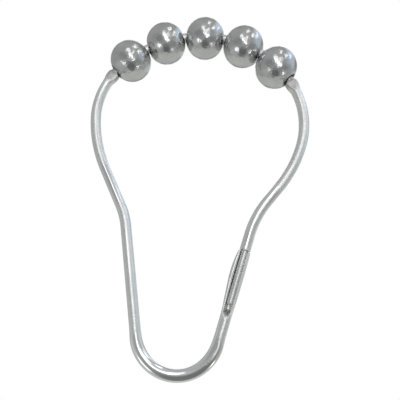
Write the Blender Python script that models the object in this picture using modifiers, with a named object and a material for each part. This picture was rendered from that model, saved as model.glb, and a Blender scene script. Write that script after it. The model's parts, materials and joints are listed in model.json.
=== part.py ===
"""Roller-ball shower curtain hook.

One sprung wire is bent to a pear-shaped ring, and five hollow balls roll on its crown between two pressed stops.
The ring opens at a latch on its right limb: the necked tip of the upper limb lies in a socket, which is rolled
from the other end of the same wire.

The ring lies in the XZ plane, as seen from the front along +Y, and hangs from the origin. The origin is the point
under the middle ball that sits on the shower rod.
"""

import math

import bmesh
import bpy
from mathutils import Vector

MM = 0.001

# Wire ring. A turn is the angle that a bend runs through, and every radius is the centreline's.
WIRE_DIAMETER = 2.3 * MM
CROWN_RADIUS = 24.6 * MM
BOTTOM_RADIUS = 8.45 * MM
BOTTOM_SPREAD = 1.14
BOTTOM_SPREAD_RAMP = 4.0 * MM

LEFT_LOBE_RADIUS = 17.0 * MM
LEFT_LOBE_TURN = math.radians(42.0)
LEFT_SIDE_RADIUS = 30.7 * MM
LEFT_SIDE_TURN = math.radians(22.7)
LEFT_SLANT_LENGTH = 9.6 * MM
LEFT_SHOULDER_RADIUS = 15.9 * MM
LEFT_LEG_LEAN = math.radians(12.2)

RIGHT_LOBE_RADIUS = 19.3 * MM
RIGHT_LOBE_TURN = math.radians(48.7)
RIGHT_SIDE_RADIUS = 27.8 * MM
RIGHT_SIDE_TURN = math.radians(22.1)
RIGHT_SLANT_LENGTH = 3.8 * MM
RIGHT_SHOULDER_RADIUS = 20.9 * MM
RIGHT_LEG_LEAN = math.radians(12.3)

# Roller balls, pressed from tube, with in-turned rims
BALL_COUNT = 5
BALL_DIAMETER = 9.7 * MM
BALL_LENGTH = 8.5 * MM
BALL_WALL = 0.5 * MM
BALL_RIM_ROUND = 0.45 * MM
BALL_LIP_DEPTH = 0.75 * MM
BORE_CLEARANCE = 0.2 * MM
BALL_GAP = 0.2 * MM

# Pressed stops at both ends of the row of balls
STOP_CLEARANCE = 0.3 * MM
STOP_OVERLAP = 0.2 * MM
STOP_RISE = 0.6 * MM
STOP_FLAT = 0.7 * MM
STOP_RUNOUT = 1.8 * MM
STOP_SQUARENESS = 3.0
ROUND_SQUARENESS = 2.0

# Latch on the right leg. The socket's foot is measured up the leg from the bottom bend.
SOCKET_FOOT = 7.3 * MM
SOCKET_LENGTH = 12.1 * MM
SOCKET_WALL = 0.5 * MM
SOCKET_BULGE = 0.25 * MM
SOCKET_OFFSET = 0.2 * MM
SOCKET_SKEW = 1.45
SOCKET_RUNOUT = 2.2 * MM
SOCKET_SLOT_FACING = math.radians(-95.0)
FLAT_LIP_WALL = 0.2 * MM
POCKET_LENGTH = 0.8 * MM
MOUTH_ROUND_LENGTH = 0.4 * MM
MOUTH_ROUND_DEPTH = 0.2 * MM
MOUTH_CLEARANCE = 0.15 * MM
TIP_DIAMETER = 1.3 * MM
TIP_ROUND = 0.3 * MM
TIP_CLEARANCE = 0.15 * MM
NECK_LENGTH = 0.25 * MM

# Fineness of the facets
BEND_STEP = math.radians(6.0)
SECTION_BACK_STEPS = 16
SECTION_SLOT_STEPS = 8
SOCKET_FLAT_STEPS = 3
ROUNDING_STEPS = 3
PRESSED_STEPS = 3
SOCKET_STEPS = 6
BALL_STEPS = 32
BALL_ARC_STEPS = 12
BALL_INSIDE_STEPS = 6
RIM_STEPS = 2
SAME_PLACE = 0.02 * MM
WELD_DISTANCE = 0.001 * MM
CREASE_ANGLE = math.radians(40.0)

# The ball's axis runs through the wire's centreline at the middle of each lip, so that the wire bows outwards
# inside the hollow ball and the bore stays clear of it.
LIP_MIDDLE = (BALL_LENGTH - BALL_LIP_DEPTH) / 2
LIP_SLOPE = math.asin(LIP_MIDDLE / CROWN_RADIUS)
BALL_CIRCLE_RADIUS = CROWN_RADIUS * math.cos(LIP_SLOPE)
BORE_RADIUS = WIRE_DIAMETER / 2 / math.cos(LIP_SLOPE) + BORE_CLEARANCE
RIM_RADIUS = BORE_RADIUS + BALL_RIM_ROUND

# Neighbouring rims lean towards each other on the crown's inner side, and the gap is held there.
RIM_REACH = math.hypot(BALL_CIRCLE_RADIUS - RIM_RADIUS, BALL_LENGTH / 2)
HALF_SPACING = math.asin(BALL_GAP / 2 / RIM_REACH) + math.atan2(
    BALL_LENGTH / 2, BALL_CIRCLE_RADIUS - RIM_RADIUS
)
CROWN_HALF_TURN = (
    (BALL_COUNT - 1) * HALF_SPACING
    + math.asin(BALL_LENGTH / 2 / CROWN_RADIUS)
    + STOP_CLEARANCE / CROWN_RADIUS
)
CROWN_CENTRE_Z = BALL_DIAMETER / 2 - BALL_CIRCLE_RADIUS

# A stop is wider than the bore, and keeps the area of the round wire that it is pressed from.
STOP_WIDTH = 2 * BORE_RADIUS + STOP_OVERLAP
SUPERELLIPSE_FILL = math.gamma(1 + 1 / STOP_SQUARENESS) ** 2 / math.gamma(1 + 2 / STOP_SQUARENESS)
STOP_THICKNESS = math.pi / 4 * WIRE_DIAMETER**2 / (STOP_WIDTH * SUPERELLIPSE_FILL)

# The socket's slot is as wide as the tip, which snaps in and out through it.
SOCKET_INNER_RADIUS = TIP_DIAMETER / 2 + TIP_CLEARANCE
SOCKET_OUTER_RADIUS = SOCKET_INNER_RADIUS + SOCKET_WALL
SLOT_HALF_ANGLE = math.asin(TIP_DIAMETER / 2 / SOCKET_INNER_RADIUS)


def direction(heading):
    """Unit vector in the ring's plane, with the heading measured from +X towards +Z."""
    return Vector((math.cos(heading), math.sin(heading)))


def step(point, heading, length, turn):
    """Point and heading at the end of one even bend, or of a straight run where turn is 0."""
    half = turn / 2
    chord = length if abs(half) < 1e-9 else length * math.sin(half) / half
    return point + chord * direction(heading + half), heading + turn


def limb(lobe_radius, lobe_turn, side_radius, side_turn, slant_length, shoulder_radius, leg_lean):
    """Bends of one limb from the crown's top to its leg, as (length, turn towards the inside of the ring).

    The shoulder turns back as far as the leg's lean from the vertical needs.
    """
    shoulder_turn = CROWN_HALF_TURN + lobe_turn + side_turn - math.pi / 2 - leg_lean
    return [
        (CROWN_RADIUS * CROWN_HALF_TURN, CROWN_HALF_TURN),
        (lobe_radius * lobe_turn, lobe_turn),
        (side_radius * side_turn, side_turn),
        (slant_length, 0.0),
        (shoulder_radius * shoulder_turn, -shoulder_turn),
    ]


def walk(heading, bends, hand):
    """Point and heading where a limb ends that sets out from the crown's top; hand is 1 to turn left."""
    point = Vector((0.0, CROWN_CENTRE_Z + CROWN_RADIUS))
    for length, turn in bends:
        point, heading = step(point, heading, length, hand * turn)
    return point, heading


def cross(a, b):
    """Cross product of two vectors in the ring's plane."""
    return a.x * b.y - a.y * b.x


def leg_lengths(right_end, right_heading, left_end, left_heading):
    """Lengths of both straight legs, down to where the bottom bend touches their lines."""
    right_run = direction(right_heading)
    left_run = direction(left_heading)
    right_line = right_end + BOTTOM_RADIUS * direction(right_heading - math.pi / 2)
    left_line = left_end + BOTTOM_RADIUS * direction(left_heading + math.pi / 2)
    apart = left_line - right_line
    spread = cross(right_run, left_run)
    return cross(apart, left_run) / spread, cross(apart, right_run) / spread


class Route:
    """The wire's centreline from the latch tip, round the ring, to the socket's mouth."""

    def __init__(self):
        right = limb(
            RIGHT_LOBE_RADIUS,
            RIGHT_LOBE_TURN,
            RIGHT_SIDE_RADIUS,
            RIGHT_SIDE_TURN,
            RIGHT_SLANT_LENGTH,
            RIGHT_SHOULDER_RADIUS,
            RIGHT_LEG_LEAN,
        )
        left = limb(
            LEFT_LOBE_RADIUS,
            LEFT_LOBE_TURN,
            LEFT_SIDE_RADIUS,
            LEFT_SIDE_TURN,
            LEFT_SLANT_LENGTH,
            LEFT_SHOULDER_RADIUS,
            LEFT_LEG_LEAN,
        )
        right_end, right_heading = walk(0.0, right, -1)
        left_end, left_heading = walk(math.pi, left, 1)
        right_leg, left_leg = leg_lengths(right_end, right_heading, left_end, left_heading)
        bottom_turn = right_heading + 3 * math.pi - left_heading
        tip_leg = right_leg - SOCKET_FOOT - POCKET_LENGTH
        self.start = right_end + tip_leg * direction(right_heading)
        self.start_heading = right_heading + math.pi
        before_crown = [(tip_leg, 0.0), *reversed(right)]
        self.bends = [
            *before_crown,
            *left,
            (left_leg, 0.0),
            (BOTTOM_RADIUS * bottom_turn, bottom_turn),
            (SOCKET_FOOT + SOCKET_LENGTH, 0.0),
        ]
        self.length = sum(length for length, _ in self.bends)
        self.crown_top = sum(length for length, _ in before_crown)
        self.foot = self.length - SOCKET_LENGTH
        bottom_end = self.foot - SOCKET_FOOT
        self.bottom = (bottom_end - BOTTOM_RADIUS * bottom_turn, bottom_end)

    def place(self, distance):
        """Point and heading at a distance along the wire."""
        point, heading = self.start, self.start_heading
        for length, turn in self.bends:
            if distance <= length:
                return step(point, heading, distance, turn * distance / length)
            point, heading = step(point, heading, length, turn)
            distance -= length
        return point, heading

    def stations(self, features):
        """Sorted distances that follow every bend and hold each feature."""
        marks = list(features)
        begin = 0.0
        for length, turn in self.bends:
            count = max(1, math.ceil(abs(turn) / BEND_STEP))
            marks += [begin + length * i / count for i in range(count + 1)]
            begin += length
        kept = []
        for mark in sorted(marks):
            if not kept or mark - kept[-1] > SAME_PLACE:
                kept.append(mark)
        return kept


def ease(value, low, high):
    """Smooth 0 to 1 as value runs from low to high."""
    share = min(1.0, max(0.0, (value - low) / (high - low)))
    return share * share * (3 - 2 * share)


def mix(a, b, share):
    """Value at this share of the way from a to b."""
    return a + (b - a) * share


def evenly(begin, end, steps):
    """Values from begin to end, with both ends."""
    return [mix(begin, end, i / steps) for i in range(steps + 1)]


def drawn_in(from_end, length, depth):
    """How far a rounded end draws the surface in, at this distance from the end."""
    share = min(1.0, max(0.0, 1 - from_end / length))
    return depth * (1 - math.sqrt(1 - share**2))


def section_angles():
    """Angles round the section, from one lip of the socket round its back to the other, then across its slot."""
    first = SOCKET_SLOT_FACING + SLOT_HALF_ANGLE
    back = 2 * (math.pi - SLOT_HALF_ANGLE)
    slot = 2 * SLOT_HALF_ANGLE
    outer = [first + back * i / SECTION_BACK_STEPS for i in range(SECTION_BACK_STEPS + 1)]
    across = [first + back + slot * i / SECTION_SLOT_STEPS for i in range(1, SECTION_SLOT_STEPS)]
    return outer, across


def solid_section(half_width, half_depth, squareness=ROUND_SQUARENESS):
    """Section of solid wire, a superellipse, as (outwards, backwards) offsets."""
    outer, across = section_angles()
    points = []
    for angle in outer + across:
        out, back = math.cos(angle), math.sin(angle)
        points.append(
            (
                half_width * math.copysign(abs(out) ** (2 / squareness), out),
                half_depth * math.copysign(abs(back) ** (2 / squareness), back),
            )
        )
    return points


def on_circle(radius, angle):
    """Point of the section at this radius and angle, as (outwards, backwards)."""
    return Vector((radius * math.cos(angle), radius * math.sin(angle)))


def socket_section(radius, offset, depth):
    """Section of the rolled socket, whose wall is offset inwards from its trough; depth 0 to 1 sinks the trough.

    Its outer side is pressed to a flat, which leaves the wall thinner at that lip of the slot.
    """
    outer, across = section_angles()
    inwards = Vector((-offset, 0.0))
    flat_lip = on_circle(SOCKET_INNER_RADIUS + FLAT_LIP_WALL, outer[0])
    flat_end = on_circle(radius, outer[SOCKET_FLAT_STEPS]) + inwards
    points = []
    for index, angle in enumerate(outer):
        point = on_circle(radius, angle) + inwards
        if index < SOCKET_FLAT_STEPS:
            point = point.lerp(flat_lip.lerp(flat_end, index / SOCKET_FLAT_STEPS), depth)
        points.append(point)
    wrap = 2 * math.pi - 2 * SLOT_HALF_ANGLE
    for i, angle in enumerate(across):
        floor = outer[-1] - wrap * i / (len(across) - 1)
        points.append(on_circle(radius, angle).lerp(on_circle(SOCKET_INNER_RADIUS, floor), depth))
    return points


class Wire:
    """The whole wire as rings of section points, and the zones where its section changes."""

    def __init__(self):
        self.route = Route()
        self.tip_length = SOCKET_LENGTH - POCKET_LENGTH + MOUTH_CLEARANCE
        crown_half = CROWN_RADIUS * CROWN_HALF_TURN
        self.stops = [
            (self.route.crown_top - crown_half, -1),
            (self.route.crown_top + crown_half, 1),
        ]

    def stop_share(self, distance):
        """How far the wire is pressed flat, 0 to 1, at this distance."""
        for begin, way in self.stops:
            past = (distance - begin) * way
            if 0.0 < past < STOP_RISE + STOP_FLAT + STOP_RUNOUT:
                return ease(past, 0.0, STOP_RISE) * (
                    1 - ease(past, STOP_RISE + STOP_FLAT, STOP_RISE + STOP_FLAT + STOP_RUNOUT)
                )
        return 0.0

    def spread_share(self, distance):
        """How far the bottom bend is spread in the ring's plane, 0 to 1, at this distance."""
        begin, end = self.route.bottom
        ramp = BOTTOM_SPREAD_RAMP / 2
        return ease(distance, begin - ramp, begin + ramp) * (1 - ease(distance, end - ramp, end + ramp))

    def socket(self, above_foot):
        """Section of the socket, which swells a little nearer its mouth, where it is rounded off."""
        along = min(1.0, max(0.0, above_foot / SOCKET_LENGTH))
        swell = math.sin(math.pi * along**SOCKET_SKEW)
        radius = mix(WIRE_DIAMETER / 2, SOCKET_OUTER_RADIUS, ease(above_foot, -SOCKET_RUNOUT, SOCKET_RUNOUT))
        radius += SOCKET_BULGE * swell
        radius -= drawn_in(SOCKET_LENGTH - above_foot, MOUTH_ROUND_LENGTH, MOUTH_ROUND_DEPTH)
        return socket_section(radius, SOCKET_OFFSET * swell, ease(above_foot, -SOCKET_RUNOUT, 0.0))

    def section(self, distance):
        """The wire's section at this distance, as (outwards, backwards) offsets."""
        half = WIRE_DIAMETER / 2
        if distance < self.tip_length + NECK_LENGTH:
            tip = TIP_DIAMETER / 2 - drawn_in(distance, TIP_ROUND, TIP_ROUND)
            radius = mix(tip, half, ease(distance, self.tip_length, self.tip_length + NECK_LENGTH))
            return solid_section(radius, radius)
        above_foot = distance - self.route.foot
        if above_foot > -SOCKET_RUNOUT:
            return self.socket(above_foot)
        spread = mix(1.0, BOTTOM_SPREAD, self.spread_share(distance))
        if spread > 1.0:
            return solid_section(half * spread, half / spread)
        press = self.stop_share(distance)
        return solid_section(
            mix(half, STOP_WIDTH / 2, press),
            mix(half, STOP_THICKNESS / 2, press),
            mix(ROUND_SQUARENESS, STOP_SQUARENESS, press),
        )

    def features(self):
        """Distances where the section starts or ends a change, and points between them."""
        foot, mouth = self.route.foot, self.route.length
        marks = evenly(0.0, TIP_ROUND, ROUNDING_STEPS)
        marks += evenly(self.tip_length, self.tip_length + NECK_LENGTH, ROUNDING_STEPS)
        for begin, way in self.stops:
            flat = begin + way * STOP_RISE
            runout = flat + way * STOP_FLAT
            marks += evenly(begin, flat, PRESSED_STEPS)
            marks += evenly(runout, runout + way * STOP_RUNOUT, PRESSED_STEPS)
        marks += evenly(foot - SOCKET_RUNOUT, foot, 2 * PRESSED_STEPS)
        marks += evenly(foot, foot + SOCKET_RUNOUT, PRESSED_STEPS)
        marks += evenly(foot, mouth, SOCKET_STEPS)
        marks += evenly(mouth - MOUTH_ROUND_LENGTH, mouth, ROUNDING_STEPS)
        return marks

    def ring(self, distance):
        """World points of the section at this distance."""
        point, heading = self.route.place(distance)
        outwards = direction(heading - math.pi / 2)
        return [
            Vector((point.x + out * outwards.x, back, point.y + out * outwards.y))
            for out, back in self.section(distance)
        ]


def metal(name, colour, roughness):
    """Principled metal."""
    material = bpy.data.materials.new(name)
    material.use_nodes = True
    shader = material.node_tree.nodes["Principled BSDF"]
    shader.inputs["Base Color"].default_value = (*colour, 1.0)
    shader.inputs["Metallic"].default_value = 1.0
    shader.inputs["Roughness"].default_value = roughness
    material.diffuse_color = (*colour, 1.0)
    return material


def add_object(name, mesh, collection):
    """New object for this mesh, in this collection."""
    item = bpy.data.objects.new(name, mesh)
    collection.objects.link(item)
    return item


def wire_ring(collection, material):
    """The wire as a loft, because its section runs from tip to round wire, pressed stops and rolled socket."""
    wire = Wire()
    shape = bmesh.new()
    rings = []
    for distance in wire.route.stations(wire.features()):
        rings.append([shape.verts.new(point) for point in wire.ring(distance)])
    for lower, upper in zip(rings, rings[1:]):
        for i in range(len(lower)):
            j = (i + 1) % len(lower)
            shape.faces.new((lower[i], lower[j], upper[j], upper[i]))
    shape.faces.new(rings[0])
    shape.faces.new(rings[-1])
    bmesh.ops.recalc_face_normals(shape, faces=shape.faces)
    mesh = bpy.data.meshes.new("wire_ring")
    shape.to_mesh(mesh)
    shape.free()
    mesh.materials.append(material)
    mesh.shade_smooth()
    mesh.set_sharp_from_angle(angle=CREASE_ANGLE)
    return add_object("wire_ring", mesh, collection)


def arc(centre, radius, begin, end, steps):
    """Points on a circle in (radius, height), with both ends."""
    return [
        (centre[0] + radius * math.cos(angle), centre[1] + radius * math.sin(angle))
        for angle in evenly(begin, end, steps)
    ]


def bead_profile():
    """Closed profile of a hollow ball in (radius, height), down its outer side and back up its inner side."""
    half = BALL_LENGTH / 2
    crown = BALL_DIAMETER / 2
    # The outer arc passes through the equator and both rims, so its centre lies a little off the ball's axis.
    centre = (crown**2 - RIM_RADIUS**2 - half**2) / (2 * (crown - RIM_RADIUS))
    outer_radius = crown - centre
    rim_angle = math.asin(half / outer_radius)
    inner_radius = outer_radius - BALL_WALL
    lip_radius = BORE_RADIUS + BALL_WALL
    lip_angle = math.acos((lip_radius - centre) / inner_radius)
    rim_corner = half - BALL_RIM_ROUND
    top_rim = arc((RIM_RADIUS, rim_corner), BALL_RIM_ROUND, math.pi, math.pi / 2, RIM_STEPS)
    outside = arc((centre, 0.0), outer_radius, rim_angle, -rim_angle, BALL_ARC_STEPS)
    bottom_rim = arc((RIM_RADIUS, -rim_corner), BALL_RIM_ROUND, -math.pi / 2, -math.pi, RIM_STEPS)
    inside = arc((centre, 0.0), inner_radius, -lip_angle, lip_angle, BALL_INSIDE_STEPS)
    lip_foot = half - BALL_LIP_DEPTH
    return [
        (BORE_RADIUS, lip_foot),
        *top_rim,
        *outside[1:-1],
        *bottom_rim,
        (BORE_RADIUS, -lip_foot),
        *inside,
    ]


def bead_mesh(material):
    """The ball's profile as a closed wire of edges, which each ball's Screw modifier turns round local Z."""
    profile = bead_profile()
    mesh = bpy.data.meshes.new("roller_ball")
    edges = [(i, (i + 1) % len(profile)) for i in range(len(profile))]
    mesh.from_pydata([(radius, 0.0, height) for radius, height in profile], edges, [])
    mesh.materials.append(material)
    return mesh


def roller_balls(collection, material):
    """The row of balls, numbered from left to right, each with its origin and local Z on its spin axis."""
    mesh = bead_mesh(material)
    for index in range(BALL_COUNT):
        lean = (2 * index - BALL_COUNT + 1) * HALF_SPACING
        ball = add_object(f"roller_ball_{index + 1}", mesh, collection)
        ball.location = (
            BALL_CIRCLE_RADIUS * math.sin(lean),
            0.0,
            CROWN_CENTRE_Z + BALL_CIRCLE_RADIUS * math.cos(lean),
        )
        ball.rotation_euler = (0.0, math.pi / 2 + lean, 0.0)
        turned = ball.modifiers.new("turned", "SCREW")
        turned.axis = "Z"
        turned.angle = 2 * math.pi
        turned.steps = BALL_STEPS
        turned.render_steps = BALL_STEPS
        turned.use_merge_vertices = True
        turned.merge_threshold = WELD_DISTANCE
        turned.use_smooth_shade = True


def main():
    for item in list(bpy.data.objects):
        bpy.data.objects.remove(item, do_unlink=True)
    collection = bpy.data.collections.new("shower_curtain_hook")
    bpy.context.scene.collection.children.link(collection)
    wire_ring(collection, metal("bright_chrome", (0.80, 0.81, 0.82), 0.12))
    roller_balls(collection, metal("satin_steel", (0.56, 0.56, 0.57), 0.30))


main()
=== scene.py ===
"""Roller shower curtain hook: a sprung chrome wire ring with five satin metal balls, dressed for a portrait.

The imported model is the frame. Smooth pieces of the same sizes replace its wire and its balls, and carry the
finishes. A small studio stands round them: a pale floor, a grey tent with windows and a white opening behind
the hook, the dark body of the camera, and two lamps.
"""

import json
import logging
import math
from dataclasses import dataclass, field
from enum import Enum

import bmesh
import bpy
from mathutils import Matrix, Vector

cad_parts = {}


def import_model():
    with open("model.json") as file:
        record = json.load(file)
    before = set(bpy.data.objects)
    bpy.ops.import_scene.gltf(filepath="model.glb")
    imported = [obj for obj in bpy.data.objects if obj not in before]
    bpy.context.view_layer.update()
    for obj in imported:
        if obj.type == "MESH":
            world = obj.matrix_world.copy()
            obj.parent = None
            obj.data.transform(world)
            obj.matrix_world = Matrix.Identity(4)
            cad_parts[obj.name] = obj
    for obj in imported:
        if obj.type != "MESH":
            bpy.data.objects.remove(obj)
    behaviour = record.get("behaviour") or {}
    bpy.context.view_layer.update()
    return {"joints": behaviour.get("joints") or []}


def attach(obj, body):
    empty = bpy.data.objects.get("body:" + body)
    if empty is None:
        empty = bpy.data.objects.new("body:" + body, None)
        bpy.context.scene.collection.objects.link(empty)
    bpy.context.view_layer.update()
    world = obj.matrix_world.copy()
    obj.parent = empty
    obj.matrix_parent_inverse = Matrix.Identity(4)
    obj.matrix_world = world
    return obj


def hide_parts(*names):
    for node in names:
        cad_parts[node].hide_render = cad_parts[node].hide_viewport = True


LOG = logging.getLogger("shower_curtain_hook")
MM = 0.001

# What a mesh tells its finish: its marks, and the map that runs round and along the wire
# The crevice mark says how much shade is painted into a surface's colour
CREVICE_SHADE = "crevice"
PRESSED = "pressed"
RUBBED = "rubbed"
WIRE_RUN = "wire_run"

# A smaller turn than STRAIGHT is a straight run, and ROUND is the exponent of a superellipse that is a circle
STRAIGHT = 1e-9
ROUND = 2.0

# Where most of a noise's values lie, and how fine a noise is
NOISE_RANGE = (0.35, 0.65)
CLOUD_DETAIL = 3.0
GRAIN_DETAIL = 2.0

Colour = tuple[float, float, float]
Section = list[tuple[float, float]]
Item = bpy.types.Object
Material = bpy.types.Material
Mesh = bpy.types.Mesh
Socket = bpy.types.NodeSocket
Tree = bpy.types.NodeTree

WHITE: Colour = (1.0, 1.0, 1.0)


class Slot(Enum):
    """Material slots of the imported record."""

    CHROME = "bright_chrome"
    STEEL = "satin_steel"


class Pattern(Enum):
    """How a finish lies on its piece."""

    ALL_OVER = "all_over"
    DRAWN = "drawn"


def mix(a: float, b: float, share: float) -> float:
    """Return the value at this share of the way from a to b."""
    return a + (b - a) * share


def ease(value: float, low: float, high: float) -> float:
    """Return a smooth 0 to 1 as value runs from low to high."""
    share = min(1.0, max(0.0, (value - low) / (high - low)))
    return share * share * (3 - 2 * share)


def evenly(begin: float, end: float, steps: int) -> list[float]:
    """Return values from begin to end, with both ends."""
    return [mix(begin, end, i / steps) for i in range(steps + 1)]


def drawn_in(from_end: float, length: float, depth: float) -> float:
    """Return how far a rounded end draws the surface in, at this distance from the end."""
    share = min(1.0, max(0.0, 1 - from_end / length))
    return depth * (1 - math.sqrt(1 - share**2))


def heading_vector(heading: float) -> Vector:
    """Return the unit vector in the ring's plane at this heading from +X towards +Z."""
    return Vector((math.cos(heading), math.sin(heading)))


def grey(tone: float) -> Colour:
    """Return the neutral colour of this tone."""
    return (tone, tone, tone)


def step(point: Vector, heading: float, length: float, turn: float) -> tuple[Vector, float]:
    """Follow one even bend, or a straight run where turn is 0.

    Args:
        point: Start of the bend, in the ring's plane.
        heading: Heading at the start.
        length: Length of wire in the bend.
        turn: Angle that the bend runs through.

    Returns:
        The point and the heading at its end.
    """
    half = turn / 2
    chord = length if abs(half) < STRAIGHT else length * math.sin(half) / half
    return point + chord * heading_vector(heading + half), heading + turn


def add_object(name: str, data: bpy.types.ID) -> Item:
    """Put a new object in the scene.

    Args:
        name: Its name.
        data: Its mesh, lamp or camera.

    Returns:
        The object.
    """
    item = bpy.data.objects.new(name, data)
    bpy.context.scene.collection.objects.link(item)
    return item


def face_outwards(mesh: Mesh) -> None:
    """Turn the faces of a closed mesh outwards.

    Args:
        mesh: The mesh.
    """
    shape = bmesh.new()
    shape.from_mesh(mesh)
    bmesh.ops.recalc_face_normals(shape, faces=shape.faces)
    shape.to_mesh(mesh)
    shape.free()


def new_material(name: str) -> tuple[Material, Tree]:
    """Make a material with nodes.

    Args:
        name: Its name.

    Returns:
        The material and its node tree.
    """
    material = bpy.data.materials.new(name)
    material.use_nodes = True
    return material, material.node_tree


def put(tree: Tree, kind: str, out: int | str, given: dict[int | str, object], **settings: str) -> Socket:
    """Add a node and feed it.

    Args:
        tree: Node tree that it goes in.
        kind: Its type, without ShaderNode or GeometryNode in front.
        out: Name or number of the output that is wanted.
        given: Another node's output, or a fixed value, for each input by its name or number.
        settings: The node's own settings, such as its operation or its label.

    Returns:
        The output that is wanted.
    """
    node = tree.nodes.new(f"{tree.type.title()}Node{kind}")
    for name, value in settings.items():
        setattr(node, name, value)
    for key, value in given.items():
        if isinstance(value, Socket):
            tree.links.new(value, node.inputs[key])
        else:
            node.inputs[key].default_value = value
    return node.outputs[out]


def maths(tree: Tree, operation: str, a: Socket, b: Socket | float) -> Socket:
    """Return the result of one sum of a socket with a socket or a number."""
    return put(tree, "Math", 0, {0: a, 1: b}, operation=operation)


def vectors(tree: Tree, operation: str, *given: Socket | Vector) -> Socket:
    """Return the result of one sum of vectors: a number for a length or a dot product, else a vector."""
    out = "Value" if operation in ("LENGTH", "DOT_PRODUCT") else "Vector"
    return put(tree, "VectorMath", out, dict(enumerate(given)), operation=operation)


def lay(tree: Tree, under: Socket | tuple[float, ...], share: Socket, colour: Colour) -> Socket:
    """Return the colour under, with this share of another laid over it, by the Mix node's colour sockets."""
    return put(tree, "Mix", 2, {0: share, 6: under, 7: (*colour, 1.0)}, data_type="RGBA")


def ranged(
    tree: Tree, value: Socket, old: tuple[float, float], new: tuple[float, float], **settings: str
) -> Socket:
    """Return the value carried over from the old range to the new one."""
    given = {"Value": value, "From Min": old[0], "From Max": old[1], "To Min": new[0], "To Max": new[1]}
    return put(tree, "MapRange", "Result", given, **settings)


def smooth_range(tree: Tree, value: Socket, begin: float, end: float) -> Socket:
    """Return a smooth 0 to 1 as the value runs from begin to end."""
    old, new = ((begin, end), (0.0, 1.0)) if begin < end else ((end, begin), (1.0, 0.0))
    return ranged(tree, value, old, new, interpolation_type="SMOOTHSTEP")


@dataclass(frozen=True)
class MetalFinish:
    """One metal surface, with its grain, its drift of tone, its shallow ripple and its painted crevice shade.

    Every size is in metres. Roughness runs from the clean places to the dull ones. The ripple grows by
    pressed_ripple times where a tool has pressed the metal. Where the piece is marked as rubbed, handling has
    polished it: in patches where the mark is a half, and all over where it is 1. On a drawn wire the grain
    runs lengthways, and grain_stretch is its size across the wire over its size along it.
    """

    name: str
    colour: Colour
    dull_colour: Colour
    crevice_shade_colour: Colour
    roughness: tuple[float, float]
    crevice_roughness: float
    pattern: Pattern
    cloud_size: float
    grain_size: float
    grain_height: float
    ripple_size: float
    ripple_height: float
    rubbed_roughness: float = 0.1
    pressed_ripple: float = 0.0
    grain_stretch: float = 0.06

    def material(self) -> Material:
        """Build the finish.

        Returns:
            A new material whose colour, roughness and bump come from noise and from the piece's marks. A mark
            that the piece hasn't got counts as 0.
        """
        material, tree = new_material(self.name)
        material.diffuse_color = (*self.colour, 1.0)
        shader = tree.nodes["Principled BSDF"]
        shader.inputs["Metallic"].default_value = 1.0
        place = put(tree, "TexCoord", "Object", {})
        run = place if self.pattern is Pattern.ALL_OVER else self._drawn(tree)
        cloud = self._noise(tree, place, self.cloud_size, CLOUD_DETAIL)
        grain = self._noise(tree, run, self.grain_size, GRAIN_DETAIL)
        ripple = self._noise(tree, place, self.ripple_size, GRAIN_DETAIL)
        crevice, pressed, rubbed = (
            put(tree, "Attribute", "Fac", {}, attribute_name=name) for name in (CREVICE_SHADE, PRESSED, RUBBED)
        )

        dull = ranged(tree, cloud, NOISE_RANGE, (0.0, 1.0))
        tone = lay(tree, (*self.colour, 1.0), dull, self.dull_colour)
        # Painted shade: the crevice mark lays the crevice shade colour over the tone
        tone = lay(tree, tone, crevice, self.crevice_shade_colour)

        both = maths(tree, "MULTIPLY", maths(tree, "ADD", grain, cloud), 0.5)
        rub = maths(tree, "SUBTRACT", maths(tree, "MULTIPLY", rubbed, 2.0), dull)
        rough = ranged(tree, both, NOISE_RANGE, self.roughness)
        rough = self._slide(tree, rub, rough, self.rubbed_roughness)
        rough = self._slide(tree, crevice, rough, self.crevice_roughness)

        grown = maths(tree, "ADD", maths(tree, "MULTIPLY", pressed, self.pressed_ripple), 1.0)
        waves = {"Height": maths(tree, "MULTIPLY", ripple, grown), "Distance": self.ripple_height}
        rippled = put(tree, "Bump", "Normal", waves)
        scratches = {"Height": grain, "Distance": self.grain_height, "Normal": rippled}
        grained = put(tree, "Bump", "Normal", scratches)
        for name, value in (("Base Color", tone), ("Roughness", rough), ("Normal", grained)):
            tree.links.new(value, shader.inputs[name])
        return material

    def _noise(self, tree: Tree, place: Socket, size: float, detail: float) -> Socket:
        """Return the output of a noise whose features are about this size."""
        return put(tree, "TexNoise", "Fac", {"Vector": place, "Scale": 1.0 / size, "Detail": detail})

    def _drawn(self, tree: Tree) -> Socket:
        """Return the piece's own UV map, stretched along the wire as the drawing die leaves it."""
        own = put(tree, "UVMap", "UV", {}, uv_map=WIRE_RUN)
        return put(tree, "Mapping", "Vector", {"Vector": own, "Scale": (1.0, self.grain_stretch, 1.0)})

    def _slide(self, tree: Tree, share: Socket, a: Socket, b: float) -> Socket:
        """Return the value at this share, held between 0 and 1, of the way from a to b."""
        return put(tree, "Mix", 0, {0: share, 2: a, 3: b})


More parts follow.
